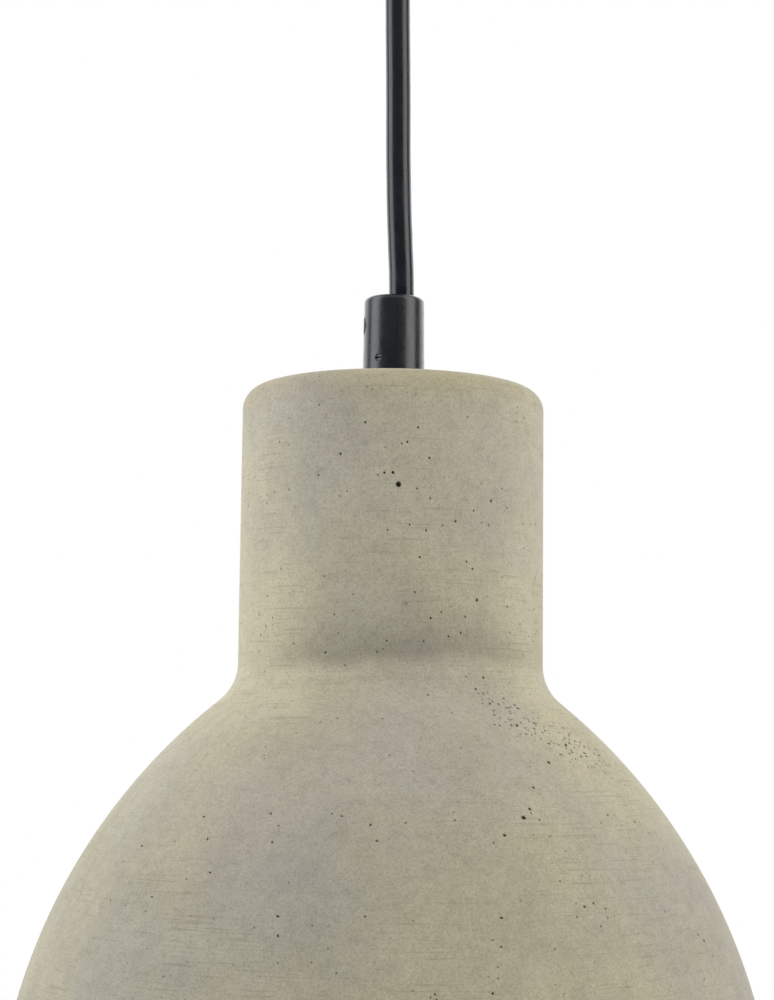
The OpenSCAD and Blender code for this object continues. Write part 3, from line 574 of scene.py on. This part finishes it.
def shown_copy(node, finish, edge=0.0, round_by=0):
    """A CAD node's shape with its triangles joined, its sharp edges broken and its finish on."""
    source = frame["nodes"][node]
    bm = bmesh.new()
    bm.from_mesh(source.data)
    bmesh.ops.remove_doubles(bm, verts=bm.verts, dist=2e-6)
    bmesh.ops.dissolve_limit(bm, angle_limit=radians(0.5), verts=bm.verts, edges=bm.edges)
    piece = put(bm, "shown_" + node, finish)
    if edge:
        bevel = piece.modifiers.new("broken_edges", "BEVEL")
        bevel.width = edge
        bevel.segments = 2
        bevel.limit_method = "ANGLE"
        bevel.angle_limit = radians(40)
        bevel.harden_normals = True
    if round_by:
        rounding = piece.modifiers.new("rounding", "SUBSURF")
        rounding.levels = rounding.render_levels = round_by
    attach(piece, source["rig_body"])
    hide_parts(node)
    return piece


def moulded(name, low, high, roughness, texture):
    """Moulded plastic: an even colour between two near ones, and the mould's fine spark texture."""
    finish, tree, skin, place = new_finish(name, roughness)
    colour = ramp(tree, noise(tree, place, 90, 3), [(0.35, low), (0.65, high)])
    tree.links.new(colour, skin.inputs["Base Color"])
    uneven = noise(tree, place, 420, 5, 0.6)
    tree.links.new(spread(tree, uneven, 0.3, 0.7, roughness - 0.05, roughness + 0.07),
                   skin.inputs["Roughness"])
    skin.inputs["Specular IOR Level"].default_value = 0.62
    dent(tree, skin, noise(tree, place, 2600, 2), texture, 0.00005)
    return finish


grip_plastic = moulded("grip_plastic", (0.0035, 0.005, 0.0075), (0.005, 0.007, 0.010), 0.27, 0.04)
black_steel = moulded("black_steel", (0.026, 0.027, 0.029), (0.045, 0.046, 0.048), 0.36, 0.15)
for node in ("shade_grip", "canopy_grip"):
    shown_copy(node, grip_plastic, edge=0.00025)
for node in ("shade_clamp_screw", "canopy_clamp_screw"):
    shown_copy(node, grip_plastic, edge=0.0001)
for node in ("shade_lock_screw", "canopy_lock_screw", "grip_washer"):
    shown_copy(node, black_steel, edge=0.0001)


# ---- Canopy ----
# A spun steel cup, powder-coated in fine-grained black, held on the bracket by two side screws.

powder_coat, tree, skin, place = new_finish("canopy_paint", 0.5)
tree.links.new(ramp(tree, noise(tree, place, 40, 4), [
    (0.3, (0.011, 0.011, 0.012)), (0.7, (0.016, 0.016, 0.018))]), skin.inputs["Base Color"])
skin.inputs["Specular IOR Level"].default_value = 0.35
tree.links.new(spread(tree, noise(tree, place, 900, 3), 0.3, 0.7, 0.42, 0.58), skin.inputs["Roughness"])
dent(tree, skin, noise(tree, place, 2200, 3, 0.6), 0.5, 0.00008)
shown_copy("canopy_cup", powder_coat, edge=0.0002)
shown_copy("canopy_side_screws", black_steel, edge=0.0002)


# ---- Zinc-plated steel: bracket, nuts, washers and screws ----
# Stamped and turned parts with the faint blue-yellow bloom and fine grain of bright zinc.

zinc, tree, skin, place = new_finish("zinc_steel", 0.34, metallic=1.0)
bloom = ramp(tree, noise(tree, place, 65, 4), [
    (0.30, (0.52, 0.54, 0.58)), (0.50, (0.62, 0.63, 0.64)), (0.68, (0.66, 0.64, 0.58))])
tree.links.new(bloom, skin.inputs["Base Color"])
grain = noise(tree, place, 1.0, 3, 0.5, stretch=(90, 1500, 1500))
tree.links.new(spread(tree, grain, 0.3, 0.7, 0.26, 0.46), skin.inputs["Roughness"])
dent(tree, skin, noise(tree, place, 1500, 3), 0.12, 0.00005)
for node in ("ceiling_bracket", "canopy_washer", "canopy_nut", "under_washer", "shade_nut",
             "terminal_fixing_screw", "lampholder_lock_screw"):
    shown_copy(node, zinc, edge=0.0002)


# ---- Threaded nipples ----
# Zinc-plated M10x1 tubes: one holds the grip to the canopy, the other runs through the concrete
# and carries the lampholder. Their threads are cut from end to end.

thread_pitch = 0.001
thread_depth = 0.0005
nipple_bore_r = 0.0042


def threaded_tube(node, bore, finish):
    """A tube with a cut thread as long as the node it stands for."""
    low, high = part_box(node)
    outer = high.x
    bm = bmesh.new()
    tip = bm.verts.new((bore, 0, high.z))
    tip = line_to(bm, tip, outer - thread_depth, high.z)
    turns = int((high.z - low.z) / thread_pitch)
    step = (high.z - low.z) / turns
    for i in range(turns):
        tip = line_to(bm, tip, outer, high.z - (i + 0.4) * step)
        tip = line_to(bm, tip, outer, high.z - (i + 0.6) * step)
        tip = line_to(bm, tip, outer - thread_depth, high.z - (i + 1) * step)
    tip = line_to(bm, tip, bore, low.z)
    turn_round(bm, 48)
    piece = put(bm, "threaded_" + node, finish, sharp=25)
    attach(piece, frame["nodes"][node]["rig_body"])
    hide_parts(node)


for node in ("canopy_nipple", "shade_nipple"):
    threaded_tube(node, nipple_bore_r, zinc)


# ---- Terminal block ----
# A three-pole strip of white nylon with brass sleeves and slotted brass screws, where the house
# wires meet the lamp's cord.

nylon = moulded("white_nylon", (0.72, 0.71, 0.67), (0.80, 0.79, 0.76), 0.42, 0.2)
shown_copy("terminal_block", nylon, edge=0.0003)

brass, tree, skin, place = new_finish("brass", 0.3, metallic=1.0)
tarnish = ramp(tree, noise(tree, place, 120, 5), [
    (0.30, (0.62, 0.44, 0.20)), (0.52, (0.78, 0.60, 0.30)), (0.72, (0.84, 0.68, 0.38))])
tree.links.new(tarnish, skin.inputs["Base Color"])
tree.links.new(spread(tree, noise(tree, place, 500, 4), 0.3, 0.7, 0.22, 0.42), skin.inputs["Roughness"])
dent(tree, skin, noise(tree, place, 1800, 3), 0.12, 0.00005)
for node in ("terminal_sleeves", "terminal_screws", "earth_screw", "holder_terminal_screws",
             "centre_contact"):
    shown_copy(node, brass, edge=0.0001)


# ---- Cores ----
# The stranded wires in their coloured insulation: brown, blue, and green striped with yellow.

def insulation(name, main, stripe=None):
    """Soft glossy insulation, with a second colour winding along it where it has a stripe."""
    finish, tree, skin, place = new_finish(name, 0.36)
    shade_of = ramp(tree, noise(tree, place, 220, 3), [(0.3, tuple(0.85 * c for c in main)), (0.7, main)])
    if stripe:
        bands = add(tree, "TexWave", {"Vector": place, "Scale": 130.0, "Distortion": 0.6},
                    bands_direction="DIAGONAL").outputs["Fac"]
        shade_of = mix(tree, spread(tree, bands, 0.48, 0.52, 0, 1), shade_of, stripe)
    tree.links.new(shade_of, skin.inputs["Base Color"])
    dent(tree, skin, noise(tree, place, 900, 2), 0.1, 0.00005)
    return finish


brown = insulation("core_brown", (0.17, 0.07, 0.03))
blue = insulation("core_blue", (0.04, 0.13, 0.44))
striped = insulation("core_earth", (0.07, 0.30, 0.06), (0.72, 0.62, 0.05))
for node in ("live_core_upper", "live_core_lower"):
    shown_copy(node, brown)
for node in ("neutral_core_upper", "neutral_core_lower"):
    shown_copy(node, blue)
shown_copy("earth_core", striped)


# ---- Lampholder ----
# A black thermoset cap and screwed-on skirt round a white ceramic insert, with a rolled brass
# shell that takes the bulb's thread.

thermoset = moulded("holder_plastic", (0.014, 0.014, 0.015), (0.022, 0.022, 0.024), 0.36, 0.3)
porcelain = moulded("porcelain", (0.74, 0.72, 0.66), (0.82, 0.80, 0.75), 0.3, 0.12)
shown_copy("lampholder_cap", thermoset, edge=0.0003)
shown_copy("lampholder_insert", porcelain, edge=0.0004)

skirt_low, skirt_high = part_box("lampholder_skirt")
skirt_wall = 0.0018
foot_r = skirt_high.x
skirt_top_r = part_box("lampholder_cap")[1].x
top_edge = 0.0004
plain_end = 0.004
foot_round = 0.001
lip_r = 0.0143                    # the lip round the mouth, where the bulb goes in
lip = 0.0022
lip_round = 0.0006
lip_slope = 0.0015
plain_inside = 0.008              # the straight stretch that screws onto the cap
bm = bmesh.new()
tip = bm.verts.new((skirt_top_r - skirt_wall, 0, skirt_high.z))
tip = line_to(bm, tip, skirt_top_r - top_edge, skirt_high.z)
tip = line_to(bm, tip, skirt_top_r, skirt_high.z - top_edge)
tip = line_to(bm, tip, skirt_top_r, skirt_high.z - plain_end, 2)
tip = line_to(bm, tip, foot_r, skirt_low.z + plain_end, 22)
tip = line_to(bm, tip, foot_r, skirt_low.z + foot_round, 2)
tip = arc_to(bm, tip, foot_r - foot_round, skirt_low.z + foot_round, pi / 2, 4)
tip = line_to(bm, tip, lip_r + lip_round, skirt_low.z, 3)
tip = arc_to(bm, tip, lip_r + lip_round, skirt_low.z + lip_round, pi / 2, 4)
tip = line_to(bm, tip, lip_r, skirt_low.z + lip)
tip = line_to(bm, tip, foot_r - skirt_wall, skirt_low.z + lip + lip_slope, 2)
tip = line_to(bm, tip, skirt_top_r - skirt_wall, skirt_high.z - plain_inside, 4)
turn_round(bm, 192)
flutes = 32
flute_depth = 0.0004
flute_end = 0.0055                # from the skirt's ends to its flutes
for v in bm.verts:                # shallow flutes for the fingers, between the plain ends
    r = sqrt(v.co.x ** 2 + v.co.y ** 2)
    between = skirt_low.z + flute_end < v.co.z < skirt_high.z - flute_end
    if between and r > skirt_top_r - 0.5 * skirt_wall:
        groove = max(0.0, cos(flutes * atan2(v.co.y, v.co.x))) ** 0.5 * flute_depth
        v.co.xy *= (r - groove) / r
skirt = put(bm, "fluted_skirt", thermoset, sharp=50)
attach(skirt, "lamp")
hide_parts("lampholder_skirt")

shell_low, shell_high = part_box("screw_shell")
shell_r = shell_high.x
shell_sheet = 0.0003
wave = 0.00055                    # half the depth of the rolled thread
shell_pitch = 0.0036
turned_in = 0.004                 # height of the end that turns in over the insert
eye_r = 0.009                     # the hole in that end
eye_lip = 0.0012
eye_edge = 0.0005
inner_step = 0.0001
rolled = shell_high.z - turned_in - shell_low.z
waves = 56
middle_r = shell_r - wave
bm = bmesh.new()
tip = bm.verts.new((middle_r, 0, shell_low.z))
for i in range(1, waves + 1):
    up = rolled * i / waves
    tip = line_to(bm, tip, middle_r - wave * sin(2 * pi * up / shell_pitch), shell_low.z + up)
tip = line_to(bm, tip, eye_r + eye_lip, shell_high.z, 3)
tip = line_to(bm, tip, eye_r, shell_high.z)
tip = line_to(bm, tip, eye_r, shell_high.z - eye_edge)
tip = line_to(bm, tip, middle_r - shell_sheet - inner_step, shell_high.z - turned_in, 3)
for i in range(waves - 1, -1, -1):
    up = rolled * i / waves
    inner = middle_r - shell_sheet - wave * sin(2 * pi * up / shell_pitch)
    tip = line_to(bm, tip, inner, shell_low.z + up)
turn_round(bm, 96)
shell = put(bm, "rolled_screw_shell", brass, sharp=50)
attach(shell, "lamp")
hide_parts("screw_shell")
